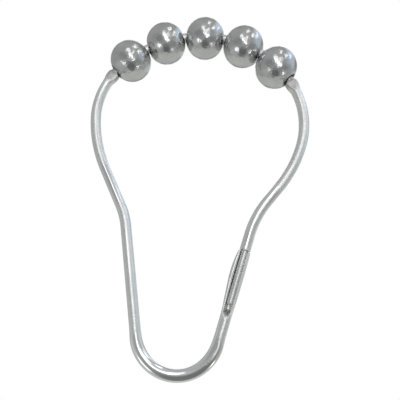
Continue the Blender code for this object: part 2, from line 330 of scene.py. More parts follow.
BRIGHT_CHROME = MetalFinish(
    name="bright_chrome",
    colour=(0.93, 0.94, 0.93),
    dull_colour=(0.86, 0.88, 0.87),
    # Colour of the shade painted where the wire is marked as a crevice
    crevice_shade_colour=(0.42, 0.41, 0.39),
    roughness=(0.30, 0.44),
    crevice_roughness=0.45,
    pattern=Pattern.DRAWN,
    cloud_size=4.5 * MM,
    grain_size=0.35 * MM,
    grain_height=0.005 * MM,
    ripple_size=2.4 * MM,
    ripple_height=0.04 * MM,
    pressed_ripple=2.0,
)
SATIN_STEEL = MetalFinish(
    name="satin_steel",
    colour=(0.65, 0.66, 0.65),
    dull_colour=(0.58, 0.59, 0.59),
    # Colour of the shade painted round the balls' rim holes
    crevice_shade_colour=grey(0.20),
    roughness=(0.10, 0.17),
    crevice_roughness=0.4,
    pattern=Pattern.ALL_OVER,
    cloud_size=2.2 * MM,
    grain_size=0.12 * MM,
    grain_height=0.0015 * MM,
    ripple_size=0.85 * MM,
    ripple_height=0.09 * MM,
)


@dataclass(frozen=True)
class Limb:
    """Bends of one limb of the ring, from the end of the crown to the leg. Radii are the centreline's."""

    lobe_radius: float
    lobe_turn: float
    side_radius: float
    side_turn: float
    slant_length: float
    shoulder_radius: float
    leg_lean: float

    def bends(self, crown_radius: float, crown_turn: float) -> list[tuple[float, float]]:
        """Lay out the limb from the crown's top.

        Args:
            crown_radius: Radius of the crown.
            crown_turn: Angle from the crown's top to its end.

        Returns:
            Each bend as its length and its turn towards the inside of the ring.
        """
        shoulder_turn = crown_turn + self.lobe_turn + self.side_turn - math.pi / 2 - self.leg_lean
        return [
            (crown_radius * crown_turn, crown_turn),
            (self.lobe_radius * self.lobe_turn, self.lobe_turn),
            (self.side_radius * self.side_turn, self.side_turn),
            (self.slant_length, 0.0),
            (self.shoulder_radius * shoulder_turn, -shoulder_turn),
        ]


LEFT_LIMB = Limb(
    lobe_radius=17.0 * MM,
    lobe_turn=math.radians(42.0),
    side_radius=30.7 * MM,
    side_turn=math.radians(22.7),
    slant_length=9.6 * MM,
    shoulder_radius=15.9 * MM,
    leg_lean=math.radians(12.2),
)
RIGHT_LIMB = Limb(
    lobe_radius=19.3 * MM,
    lobe_turn=math.radians(48.7),
    side_radius=27.8 * MM,
    side_turn=math.radians(22.1),
    slant_length=3.8 * MM,
    shoulder_radius=20.9 * MM,
    leg_lean=math.radians(12.3),
)


@dataclass
class RollerBall:
    """The five hollow balls, each turned from one wall section by Geometry Nodes."""

    diameter: float = 9.7 * MM
    length: float = 8.5 * MM
    wall: float = 0.5 * MM
    rim_round: float = 0.45 * MM
    lip_depth: float = 0.75 * MM
    bore_radius: float = 1.3645 * MM
    # Painted shade round the rim holes: where it fades out, and the share of it on rims that face another
    # ball
    crevice_shade_edge: tuple[float, float] = (-0.08 * MM, 0.12 * MM)
    inner_crevice_shade: float = 0.12
    arc_steps: int = 72
    rim_steps: int = 8
    turn_steps: int = 144
    finish: MetalFinish = SATIN_STEEL

    def wall_section(self) -> list[tuple[float, float]]:
        """Draw the closed section of the wall.

        Returns:
            Points as distance outwards from the bore's wall and height along the spin axis.
        """
        half = self.length / 2
        crown = self.diameter / 2
        rim_radius = self.bore_radius + self.rim_round
        centre = (crown**2 - rim_radius**2 - half**2) / (2 * (crown - rim_radius))
        outer_radius = crown - centre
        rim_angle = math.asin(half / outer_radius)
        inner_radius = outer_radius - self.wall
        lip_angle = math.acos((self.bore_radius + self.wall - centre) / inner_radius)
        corner = half - self.rim_round
        points = [(self.bore_radius, half - self.lip_depth)]
        points += self._arc(rim_radius, corner, self.rim_round, math.pi, math.pi / 2, self.rim_steps)
        points += self._arc(centre, 0.0, outer_radius, rim_angle, -rim_angle, self.arc_steps)[1:-1]
        points += self._arc(rim_radius, -corner, self.rim_round, -math.pi / 2, -math.pi, self.rim_steps)
        points.append((self.bore_radius, self.lip_depth - half))
        points += self._arc(centre, 0.0, inner_radius, -lip_angle, lip_angle, self.arc_steps // 2)
        return [(radius - self.bore_radius, height) for radius, height in points]

    def _arc(
        self, x: float, y: float, radius: float, begin: float, end: float, steps: int
    ) -> list[tuple[float, float]]:
        """Return points on a circle round (x, y), with both ends."""
        angles = evenly(begin, end, steps)
        return [(x + radius * math.cos(angle), y + radius * math.sin(angle)) for angle in angles]

    def turning_tree(self) -> Tree:
        """Build the node tree that turns a wall section round a bore.

        Returns:
            A tree whose inputs are the section, the bore, the steps of the turn, the spin axis's lean, the
            centre and the finish.
        """
        tree = bpy.data.node_groups.new("roller_ball_turning", "GeometryNodeTree")
        inputs = {
            "Wall Section": "Geometry",
            "Bore Radius": "Float",
            "Turn Steps": "Int",
            "Lean": "Vector",
            "Centre": "Vector",
            "Finish": "Material",
        }
        for name, kind in inputs.items():
            tree.interface.new_socket(name, in_out="INPUT", socket_type=f"NodeSocket{kind}")
        tree.interface.new_socket("Ball", in_out="OUTPUT", socket_type="NodeSocketGeometry")
        given = tree.nodes.new("NodeGroupInput").outputs
        section = put(tree, "MeshToCurve", 0, {"Mesh": given["Wall Section"]})
        round_bore = {"Resolution": given["Turn Steps"], "Radius": given["Bore Radius"]}
        circle = put(tree, "CurvePrimitiveCircle", 0, round_bore)
        turned = put(tree, "CurveToMesh", 0, {"Curve": circle, "Profile Curve": section})
        smooth = put(tree, "SetShadeSmooth", 0, {0: turned})
        place = {0: smooth, "Rotation": given["Lean"], "Translation": given["Centre"]}
        real = put(tree, "RealizeInstances", 0, {0: put(tree, "Transform", 0, place)})
        dressed = put(tree, "SetMaterial", 0, {0: real, "Material": given["Finish"]})
        tree.links.new(dressed, tree.nodes.new("NodeGroupOutput").inputs["Ball"])
        return tree

    def crevice_shades(self, mesh: Mesh, joint: dict, way: int) -> list[float]:
        """Mark the shade painted in the crevice between the in-turned rims and the wire.

        Args:
            mesh: The ball's mesh.
            joint: Its spin joint.
            way: 1 or -1 for an end ball whose rim on that side of the axis faces a stop, 0 for the others.

        Returns:
            How much painted shade each vertex takes, 0 to 1. The rims that face another ball take less of it.
        """
        axis, centre = Vector(joint["axis"]), Vector(joint["pos_m"])
        rim = self.bore_radius + self.rim_round
        low, high = (rim + edge for edge in self.crevice_shade_edge)
        depths = []
        for vertex in mesh.vertices:
            offset = vertex.co - centre
            along = offset.dot(axis)
            depth = 1 - ease((offset - along * axis).length, low, high)
            depths.append(depth if along * way > 0.0 else depth * self.inner_crevice_shade)
        return depths

    def build(self, joints: list[dict]) -> None:
        """Turn one ball on each spin joint and let it ride on its body.

        Args:
            joints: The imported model's joints.
        """
        tree = self.turning_tree()
        section = self.wall_section()
        edges = [(i, (i + 1) % len(section)) for i in range(len(section))]
        drawn = bpy.data.meshes.new("ball_wall_section")
        drawn.from_pydata([(outwards, height, 0.0) for outwards, height in section], edges, [])
        material = self.finish.material()
        for index, joint in enumerate(joints):
            axis = Vector(joint["axis"])
            values = {
                "Bore Radius": self.bore_radius,
                "Turn Steps": self.turn_steps,
                "Lean": Vector((0.0, math.atan2(axis.x, axis.z), 0.0)),
                "Centre": Vector(joint["pos_m"]),
                "Finish": material,
            }
            name = joint["child"]
            ball = plain_mesh(f"satin_{name}", drawn, tree, values)
            way = int(index == len(joints) - 1) - int(index == 0)
            # Painted shade round the holes, full only on the end balls' outer rims
            mark(ball.data, CREVICE_SHADE, self.crevice_shades(ball.data, joint, way))
            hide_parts(f"roller_{name}")
            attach(ball, name)
            LOG.info("%s: %d faces", ball.name, len(ball.data.polygons))


def mark(mesh: Mesh, name: str, values: list[float]) -> None:
    """Store one value from 0 to 1 at each vertex, for the finish to read."""
    mesh.attributes.new(name, "FLOAT", "POINT").data.foreach_set("value", values)


def plain_mesh(name: str, mesh: Mesh, tree: Tree, values: dict[str, object]) -> Item:
    """Run a node tree on a mesh and keep the result as a plain mesh.

    Args:
        name: Name of the finished piece.
        mesh: Mesh that the tree starts from.
        tree: Geometry node tree with named inputs.
        values: Value of each input by its name.

    Returns:
        The finished piece, with its faces pointing outwards and no modifier left.
    """
    carrier = add_object("carrier", mesh)
    modifier = carrier.modifiers.new("turning", "NODES")
    modifier.node_group = tree
    for socket in tree.interface.items_tree:
        if socket.name in values:
            modifier[socket.identifier] = values[socket.name]
    graph = bpy.context.evaluated_depsgraph_get()
    made = bpy.data.meshes.new_from_object(carrier.evaluated_get(graph))
    bpy.data.objects.remove(carrier, do_unlink=True)
    face_outwards(made)
    made.name = name
    return add_object(name, made)


@dataclass
class WireRing:
    """The sprung wire: crown, limbs, pressed stops, bottom bend, and the latch with its tip and socket.

    tip_lean is how far the tip leans against the socket's outer wall. Each shade says how much of the crevice
    shade colour is painted on a place, 0 to 1: painted shade in the socket's slot and pocket, on the tip in
    the slot and just inside the balls' holes, with the stops' flats darkened too. Each rub says how far a
    place is polished, 0 to 1. The rings are the sections along the wire.
    """

    wire: float = 2.3 * MM
    crown_radius: float = 24.6 * MM
    crown_turn: float = math.radians(54.4754)
    crown_top: float = 5.1571 * MM
    left: Limb = LEFT_LIMB
    right: Limb = RIGHT_LIMB
    bottom_radius: float = 8.45 * MM
    bottom_spread: float = 1.14
    bottom_ramp: float = 2.0 * MM

    stop_width: float = 2.929 * MM
    stop_thickness: float = 1.606 * MM
    stop_clearance: float = 0.3 * MM
    stop_rise: float = 0.6 * MM
    stop_flat: float = 0.7 * MM
    stop_runout: float = 1.8 * MM
    stop_squareness: float = 3.0

    socket_foot: float = 7.3 * MM
    socket_length: float = 12.1 * MM
    socket_inner: float = 0.8 * MM
    socket_outer: float = 1.3 * MM
    socket_bulge: float = 0.25 * MM
    socket_offset: float = 0.2 * MM
    socket_skew: float = 1.45
    socket_runout: float = 2.2 * MM
    slot_facing: float = math.radians(-95.0)
    slot_half: float = math.radians(54.34)
    flat_lip: float = 0.2 * MM
    flat_share: float = 3 / 16
    crease_rounds: int = 5
    pocket_length: float = 0.8 * MM
    mouth_round: float = 0.4 * MM
    mouth_depth: float = 0.2 * MM
    mouth_clearance: float = 0.06 * MM
    tip: float = 1.48 * MM
    tip_round: float = 0.3 * MM
    tip_lean: float = 0.04 * MM
    neck_length: float = 0.12 * MM

    stop_marks: float = 0.3
    # Painted shade, as shares of the crevice shade colour: at the stops, in the slot, on the tip and in the
    # pocket
    stop_shade: float = 0.65
    slot_shade: float = 0.08
    tip_shade: float = 0.30
    pocket_shade: float = 0.15
    patchy_rub: float = 0.55
    slant_rub: float = 0.8
    rub_fade: float = 2.5 * MM

    back_steps: int = 64
    lip_steps: int = 6
    floor_steps: int = 24
    ring_spacing: float = 0.4 * MM
    closest_rings: float = 0.01 * MM
    bend_step: float = math.radians(1.5)
    tip_rings: int = 6
    neck_rings: int = 8
    stop_rings: tuple[int, int] = (8, 16)
    socket_rings: int = 36
    mouth_rings: int = 10
    crease_angle: float = math.radians(50.0)
    finish: MetalFinish = BRIGHT_CHROME

    def __post_init__(self) -> None:
        """Lay the centreline from the latch's tip, round the ring, to the socket's mouth."""
        right = self.right.bends(self.crown_radius, self.crown_turn)
        left = self.left.bends(self.crown_radius, self.crown_turn)
        right_end, right_heading = self._walk(0.0, right, -1)
        left_end, left_heading = self._walk(math.pi, left, 1)
        right_leg, left_leg = self._legs((right_end, right_heading), (left_end, left_heading))
        turn = right_heading + 3 * math.pi - left_heading
        tip_leg = right_leg - self.socket_foot - self.pocket_length
        self.start = right_end + tip_leg * heading_vector(right_heading)
        self.start_heading = right_heading + math.pi
        before = [(tip_leg, 0.0), *reversed(right)]
        self.bends = [
            *before,
            *left,
            (left_leg, 0.0),
            (self.bottom_radius * turn, turn),
            (self.socket_foot + self.socket_length, 0.0),
        ]
        self.length = sum(length for length, _ in self.bends)
        self.top = sum(length for length, _ in before)
        self.foot = self.length - self.socket_length
        bottom_end = self.foot - self.socket_foot
        self.bottom = (bottom_end - self.bottom_radius * turn, bottom_end)
        self.tip_length = self.socket_length - self.pocket_length + self.mouth_clearance
        # A limb's bends are the crown's half, the lobe, the side, the slant and the shoulder
        left_side, left_slant = (self.top + sum(length for length, _ in left[:count]) for count in (2, 4))
        right_slant = sum(length for length, _ in before[:3])
        self.rubs = [
            (self.tip_length + self.neck_length, right_slant, self.patchy_rub),
            (mix(left_side, left_slant, 0.5), left_slant, self.slant_rub),
            (*self.bottom, 1.0),
        ]

    def _walk(self, heading: float, bends: list[tuple[float, float]], hand: int) -> tuple[Vector, float]:
        """Follow a limb from the crown's top.

        Args:
            heading: Heading at the top.
            bends: Each bend's length and turn.
            hand: 1 for a limb that turns anticlockwise as the viewer sees it, -1 for clockwise.

        Returns:
            The point and the heading at its end.
        """
        point = Vector((0.0, self.crown_top))
        for length, turn in bends:
            point, heading = step(point, heading, length, hand * turn)
        return point, heading

    def _legs(self, right: tuple[Vector, float], left: tuple[Vector, float]) -> tuple[float, float]:
        """Measure the straight legs, down to where the bottom bend touches their lines.

        Args:
            right: The point and the heading at the right limb's end.
            left: The point and the heading at the left limb's end.

        Returns:
            The length of the right leg and of the left one.
        """
        right_run, left_run = heading_vector(right[1]), heading_vector(left[1])
        right_line = right[0] + self.bottom_radius * heading_vector(right[1] - math.pi / 2)
        left_line = left[0] + self.bottom_radius * heading_vector(left[1] + math.pi / 2)
        apart = left_line - right_line
        spread = right_run.cross(left_run)
        return apart.cross(left_run) / spread, apart.cross(right_run) / spread

    def place(self, distance: float) -> tuple[Vector, float]:
        """Find a place on the centreline.

        Args:
            distance: Distance along the wire from its tip.

        Returns:
            The point and the heading there.
        """
        point, heading = self.start, self.start_heading
        for length, turn in self.bends:
            if distance <= length:
                return step(point, heading, distance, turn * distance / length)
            point, heading = step(point, heading, length, turn)
            distance -= length
        return point, heading

    def stations(self) -> list[float]:
        """Space the rings, close in the bends and closest where the section changes.

        Returns:
            Their distances along the wire, in order.
        """
        marks = []
        begin = 0.0
        for length, turn in self.bends:
            count = max(1, math.ceil(length / self.ring_spacing), math.ceil(abs(turn) / self.bend_step))
            marks += evenly(begin, begin + length, count)
            begin += length
        marks += evenly(0.0, self.tip_round, self.tip_rings)
        marks += evenly(self.tip_length, self.tip_length + self.neck_length, self.neck_rings)
        for at, way in self.stops():
            flat, runout = at + way * self.stop_rise, at + way * (self.stop_rise + self.stop_flat)
            marks += evenly(at, flat, self.stop_rings[0])
            marks += evenly(runout, runout + way * self.stop_runout, self.stop_rings[1])
        marks += evenly(self.foot - self.socket_runout, self.foot + self.socket_runout, self.socket_rings)
        marks += evenly(self.length - self.mouth_round, self.length, self.mouth_rings)
        kept = []
        for distance in sorted(marks):
            if not kept or distance - kept[-1] > self.closest_rings:
                kept.append(distance)
        return kept

    def stops(self) -> list[tuple[float, int]]:
        """Return where each pressed stop begins, and the way that it runs from there."""
        crown_half = self.crown_radius * self.crown_turn
        return [(self.top - crown_half, -1), (self.top + crown_half, 1)]

    def section_angles(self) -> tuple[list[float], list[float]]:
        """Divide the section's round.

        Returns:
            The angles round its back from lip to lip, and those across its slot.
        """
        first = self.slot_facing + self.slot_half
        back = 2 * (math.pi - self.slot_half)
        outer = evenly(first, first + back, self.back_steps)
        across_steps = 2 * self.lip_steps + self.floor_steps
        across = evenly(first + back, first + 2 * math.pi, across_steps)[1:-1]
        return outer, across

    def solid_section(self, half_width: float, half_depth: float, squareness: float = ROUND) -> Section:
        """Draw the section of solid wire.

        Args:
            half_width: Half the size in the ring's plane.
            half_depth: Half the size through the ring's depth.
            squareness: Exponent of the superellipse.

        Returns:
            Points as distance outwards from the ring's middle and distance backwards.
        """
        outer, across = self.section_angles()
        power = 2 / squareness
        return [
            (
                half_width * math.copysign(abs(math.cos(angle)) ** power, math.cos(angle)),
                half_depth * math.copysign(abs(math.sin(angle)) ** power, math.sin(angle)),
            )
            for angle in outer + across
        ]

    def lip(self, outside: Vector, inside: Vector, way: int) -> list[Vector]:
        """Round off one lip of the slot.

        Args:
            outside: Point on the outer side where the rounding begins.
            inside: Point on the trough's side where it ends.
            way: 1 where the section's angles run into the slot here, -1 where they run out of it.

        Returns:
            The points of the rounding, in the section's order.
        """
        centre, half = (outside + inside) / 2, (outside - inside) / 2
        bow = way * Vector((-half.y, half.x))
        swing = evenly(0.0, math.pi, self.lip_steps + 1)[1:-1]
        points = [centre + math.cos(angle) * half + math.sin(angle) * bow for angle in swing]
        return points if way > 0 else points[::-1]

    def trough_section(self, radius: float, offset: float, depth: float) -> Section:
        """Draw the section of the rolled socket, with its pressed flat and its rounded lips.

        Args:
            radius: Outer radius.
            offset: How far the wall stands inwards from the trough.
            depth: How far the trough is sunk, 0 to 1.

        Returns:
            Points as distance outwards from the ring's middle and distance backwards.
        """
        outer, across = self.section_angles()
        inner, flat_lip = self.socket_inner, self.socket_inner + self.flat_lip
        inwards = Vector((-offset, 0.0))
        left_edge = radius * heading_vector(outer[-1]) + inwards
        left_inset = (left_edge.length - inner) / (left_edge.length + inner)
        right_inset = (flat_lip - inner) / (flat_lip + inner)
        around = evenly(outer[0] + right_inset, outer[-1] - left_inset, self.back_steps)
        wall = [radius * heading_vector(angle) + inwards for angle in around]
        flat_steps = round(self.back_steps * self.flat_share)
        flat_begin, flat_end = flat_lip * heading_vector(around[0]), wall[flat_steps]
        wall[:flat_steps] = [flat_begin.lerp(flat_end, i / flat_steps) for i in range(flat_steps)]
        for _ in range(self.crease_rounds):
            wall[1:-1] = [(a + 2 * b + c) / 4 for a, b, c in zip(wall, wall[1:], wall[2:])]
        floor_steps = len(across) - 2 * self.lip_steps - 1
        floor = [inner * heading_vector(angle) for angle in evenly(around[-1], around[0], floor_steps)]
        left = self.lip(wall[-1], floor[0], 1)
        right = self.lip(wall[0], floor[-1], -1)
        solid = [radius * heading_vector(angle) for angle in outer + across]
        return [tuple(plain.lerp(place, depth)) for plain, place in zip(solid, wall + left + floor + right)]

    def section(self, distance: float) -> Section:
        """Draw the wire's section at one place.

        Args:
            distance: Distance along the wire from its tip.

        Returns:
            Points as distance outwards from the ring's middle and distance backwards.
        """
        half = self.wire / 2
        if distance < self.tip_length + self.neck_length:
            tip = self.tip / 2 - drawn_in(distance, self.tip_round, self.tip_round)
            necked = ease(distance, self.tip_length, self.tip_length + self.neck_length)
            radius, lean = mix(tip, half, necked), mix(self.tip_lean, 0.0, necked)
            return [(out + lean, back) for out, back in self.solid_section(radius, radius)]
        above = distance - self.foot
        if above > -self.socket_runout:
            along = min(1.0, max(0.0, above / self.socket_length))
            radius = mix(half, self.socket_outer, ease(above, -self.socket_runout, self.socket_runout))
            swell = math.sin(math.pi * along**self.socket_skew)
            radius += self.socket_bulge * swell
            radius -= drawn_in(self.socket_length - above, self.mouth_round, self.mouth_depth)
            sunk = ease(above, -self.socket_runout, 0.0)
            return self.trough_section(radius, self.socket_offset * swell, sunk)
        begin, end = self.bottom
        ramp = self.bottom_ramp
        share = ease(distance, begin - ramp, begin + ramp) * (1 - ease(distance, end - ramp, end + ramp))
        if share > 0.0:
            spread = mix(1.0, self.bottom_spread, share)
            return self.solid_section(half * spread, half / spread)
        press = self.press(distance)
        return self.solid_section(
            mix(half, self.stop_width / 2, press),
            mix(half, self.stop_thickness / 2, press),
            mix(ROUND, self.stop_squareness, press),
        )

    def press(self, distance: float) -> float:
        """Say how flat the stops are pressed.

        Args:
            distance: Distance along the wire from its tip.

        Returns:
            0 for round wire, up to 1 on the flats.
        """
        flat_end = self.stop_rise + self.stop_flat
        for begin, way in self.stops():
            past = (distance - begin) * way
            if 0.0 < past < flat_end + self.stop_runout:
                run_out = ease(past, flat_end, flat_end + self.stop_runout)
                return ease(past, 0.0, self.stop_rise) * (1 - run_out)
        return 0.0

    def crevice(self, distance: float, index: int) -> float:
        """Say how much of the crevice shade colour is painted on a point of the surface.

        Args:
            distance: Distance along the wire from its tip.
            index: Its place in the section.

        Returns:
            0 in the open, up to 1 where the painted shade is darkest.
        """
        # Painted shade over the whole tip, which lies in the socket's slot
        if distance < self.tip_length:
            return self.tip_shade
        # Painted shade on the socket's floor inside the slot, darkest in the pocket at its foot
        floor_begin = self.back_steps + 1 + self.lip_steps
        above = distance - self.foot
        if above > -self.socket_runout:
            sunk = ease(above, -self.socket_runout / 2, 0.0)
            past_pocket = ease(above, self.pocket_length, 2 * self.pocket_length)
            shade = mix(self.pocket_shade, self.slot_shade, past_pocket)
            return sunk * shade if index > floor_begin else 0.0
        # Painted shade on the wire just inside each ball's hole; past it the stop's flat is darkened, fading
        # out
        gap, stop_dark_reach = 3 * self.stop_clearance, 2 * self.stop_runout
        for begin, way in self.stops():
            past = (distance - begin) * way
            if -gap < past < 0.0:
                return mix(1.0, self.stop_shade, ease(past, -self.stop_clearance, 0.0))
            if 0.0 <= past < stop_dark_reach:
                return self.stop_shade * (1 - ease(past, self.stop_rise, stop_dark_reach))
        return 0.0

    def rubbed(self, distance: float) -> float:
        """Say how far use has polished the wire, on the slants and at the bottom.

        Args:
            distance: Distance along the wire from its tip.

        Returns:
            0 for untouched plating, up to 1 where it is polished all over.
        """
        fade = self.rub_fade
        return max(
            rub * ease(distance, begin - fade, begin + fade) * (1 - ease(distance, end - fade, end + fade))
            for begin, end, rub in self.rubs
        )

    def pressed(self, distance: float) -> float:
        """Return how far the tool has marked the wire, 0 to 1: a little at the stops, most at the socket."""
        above = distance - self.foot
        return max(self.stop_marks * self.press(distance), ease(above, -2 * self.socket_runout, 0.0))

    def build(self) -> None:
        """Loft the wire through its sections and let it ride on the ring's body."""
        points, turns, runs, crevice_shades, presses, rubs = [], [], [], [], [], []
        count = sum(len(angles) for angles in self.section_angles())
        for distance in self.stations():
            point, heading = self.place(distance)
            outwards = heading_vector(heading - math.pi / 2)
            for out, back in self.section(distance):
                points.append((point.x + out * outwards.x, back, point.y + out * outwards.y))
            turns += [i / count for i in range(count)]
            runs += [distance] * count
            crevice_shades += [self.crevice(distance, i) for i in range(count)]
            presses += [self.pressed(distance)] * count
            rubs += [self.rubbed(distance)] * count
        last = len(points) - count
        faces = []
        for first in range(0, last, count):
            for i in range(count):
                j = (i + 1) % count
                faces.append((first + i, first + j, first + count + j, first + count + i))
        faces.append(tuple(range(count)))
        faces.append(tuple(range(last, len(points)))[::-1])
        mesh = bpy.data.meshes.new("chrome_wire_ring")
        mesh.from_pydata(points, [], faces)
        self._unwrap(mesh, turns, runs, count)
        # Painted shade: each vertex's share of the crevice shade colour
        mark(mesh, CREVICE_SHADE, crevice_shades)
        mark(mesh, PRESSED, presses)
        mark(mesh, RUBBED, rubs)
        face_outwards(mesh)
        mesh.shade_smooth()
        mesh.set_sharp_from_angle(angle=self.crease_angle)
        mesh.materials.append(self.finish.material())
        piece = add_object(mesh.name, mesh)
        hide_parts("wire_ring")
        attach(piece, "ring")
        LOG.info("%s: %d faces", piece.name, len(mesh.polygons))

    def _unwrap(self, mesh: Mesh, turns: list[float], runs: list[float], count: int) -> None:
        """Give the mesh a UV map in metres: round the wire, and along it.

        The faces that close the round run on to a whole turn.

        Args:
            mesh: The wire's mesh.
            turns: Each vertex's share of the way round the wire.
            runs: Each vertex's distance along it.
            count: Number of vertices in a ring.
        """
        girth = math.pi * self.wire
        layer = mesh.uv_layers.new(name=WIRE_RUN)
        for face in mesh.polygons:
            closes = len(face.vertices) == 4 and any(index % count == count - 1 for index in face.vertices)
            for loop, index in zip(face.loop_indices, face.vertices):
                wrapped = 1.0 if closes and index % count == 0 else 0.0
                layer.data[loop].uv = ((turns[index] + wrapped) * girth, runs[index])


@dataclass(frozen=True)
class Lamp:
    """A soft lamp that lights the floor and throws the hook's shadow there.

    show is the place on the middle ball, as the camera sees it, in ball radii to the right and up, where the
    lamp would be mirrored. The lamps' own reflections come from the windows of the tent.
    """

    name: str
    show: tuple[float, float]
    distance: float
    size: tuple[float, float]
    radiance: float


class Outline(Enum):
    """Outline of a window or cloth of the tent."""

    BOX = "box"
    ROUND = "round"


@dataclass(frozen=True)
class Pane:
    """A lit window or a darker cloth of the tent, which only reflections see.

    show and half give its middle and half sizes on the middle ball, as the camera sees them, in ball radii.
    turn is in degrees, anticlockwise. soft is the width of its edge as a share of its size.
    """

    name: str
    show: tuple[float, float]
    half: tuple[float, float]
    turn: float
    soft: float
    colour: Colour
    outline: Outline = Outline.ROUND


@dataclass(frozen=True)
class Board:
    """A board beside the camera, which only reflections see, like the body of the camera itself.

    half gives its half sizes and below how far its middle hangs under the lens, square to the line of sight.
    soft is the width of its edge as a share of its half size.
    """

    name: str
    half: tuple[float, float]
    below: float
    tone: float
    soft: float
    corners: int = 20


@dataclass
class Portrait:
    """The camera of the photograph."""

    position: Vector = field(default_factory=lambda: Vector((10.959, -102.961, -62.013)) * MM)
    right: Vector = field(default_factory=lambda: Vector((0.99435, 0.06102, 0.08683)))
    up: Vector = field(default_factory=lambda: Vector((-0.06777, -0.26445, 0.96202)))
    forward: Vector = field(default_factory=lambda: Vector((-0.08167, 0.96247, 0.25882)))
    lens: float = 45.0
    film: float = 36.0

    def build(self) -> None:
        """Make this the scene's camera."""
        data = bpy.data.cameras.new("portrait_camera")
        data.lens = self.lens
        data.sensor_width = self.film
        data.clip_start = 1.0 * MM
        camera = add_object(data.name, data)
        turn = Matrix((self.right, self.up, -self.forward)).transposed().to_4x4()
        camera.matrix_world = Matrix.Translation(self.position) @ turn
        bpy.context.scene.camera = camera


